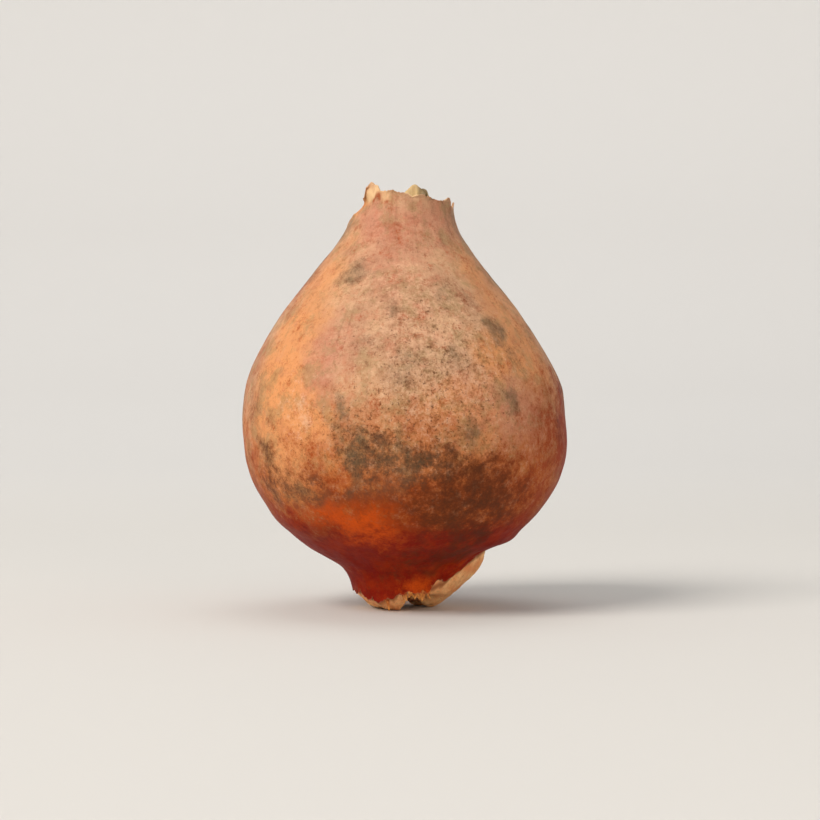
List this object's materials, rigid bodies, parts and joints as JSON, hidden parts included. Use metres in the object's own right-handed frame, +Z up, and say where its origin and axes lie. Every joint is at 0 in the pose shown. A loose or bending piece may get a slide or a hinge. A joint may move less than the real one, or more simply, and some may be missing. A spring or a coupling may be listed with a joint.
{
  "type": "tulip bulb",
  "caption": "Dry tulip bulb: a plump pointed body in a brown papery tunic, torn at the neck over pale scale tips and at the base over a cream root plate.",
  "frame": {"origin": "on the bulb's upright axis, on the surface that the root plate stands on", "axes": "+Z up through the neck, -Y towards the front, where the torn hem hangs lowest, and +X towards the swollen side of the root plate"},
  "size_m": [0.04, 0.0391, 0.0525],
  "materials": {
    "tunic": "thin dry papery bulb skin, orange to red brown, satin, specked with dark soil",
    "root_plate": "corky matte plant tissue, cream",
    "scale_tip": "dried pale scale tips, olive cream, matte"
  },
  "bodies": {
    "root": {"bulb_body": "tunic", "root_plate": "root_plate", "scale_tips": "scale_tip"}
  },
  "joints": []
}
